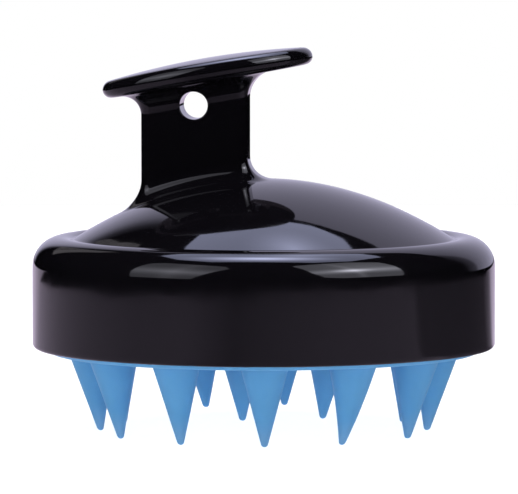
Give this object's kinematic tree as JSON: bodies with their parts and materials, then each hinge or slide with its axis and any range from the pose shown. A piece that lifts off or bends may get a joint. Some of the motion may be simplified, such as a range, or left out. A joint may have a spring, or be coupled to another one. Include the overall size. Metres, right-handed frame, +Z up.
{
  "type": "scalp massager brush",
  "caption": "Hand-held scalp massager brush: glossy round shell with a tilted T-shaped grip over a soft silicone pad of conical fingers.",
  "frame": {"origin": "on the axis of the round body, in the plane that the tips of the outer fingers touch", "axes": "+Z up along the body's axis, from the fingertips to the grip; +X along the grip plate towards its raised end; -Y is the side seen in the picture"},
  "size_m": [0.09, 0.09, 0.0746],
  "materials": {
    "black_abs": "moulded ABS with a mirror polish",
    "grey_abs": "moulded ABS with a fine spark texture",
    "blue_silicone": "moulded silicone, satin and slightly translucent",
    "zinc_plated_steel": "zinc plated, satin"
  },
  "bodies": {
    "handle_body": {"housing_shell": "black_abs", "handle_cap": "black_abs", "carrier_plate": "grey_abs", "carrier_screw_1": "zinc_plated_steel", "carrier_screw_2": "zinc_plated_steel", "carrier_screw_3": "zinc_plated_steel", "carrier_screw_4": "zinc_plated_steel"},
    "pad": {"silicone_pad": "blue_silicone"}
  },
  "joints": [
    {"name": "pad_release", "type": "slide", "parent": "pad", "child": "handle_body", "axis": [0, 0, 1], "range_m": [0, 0.02]}
  ]
}
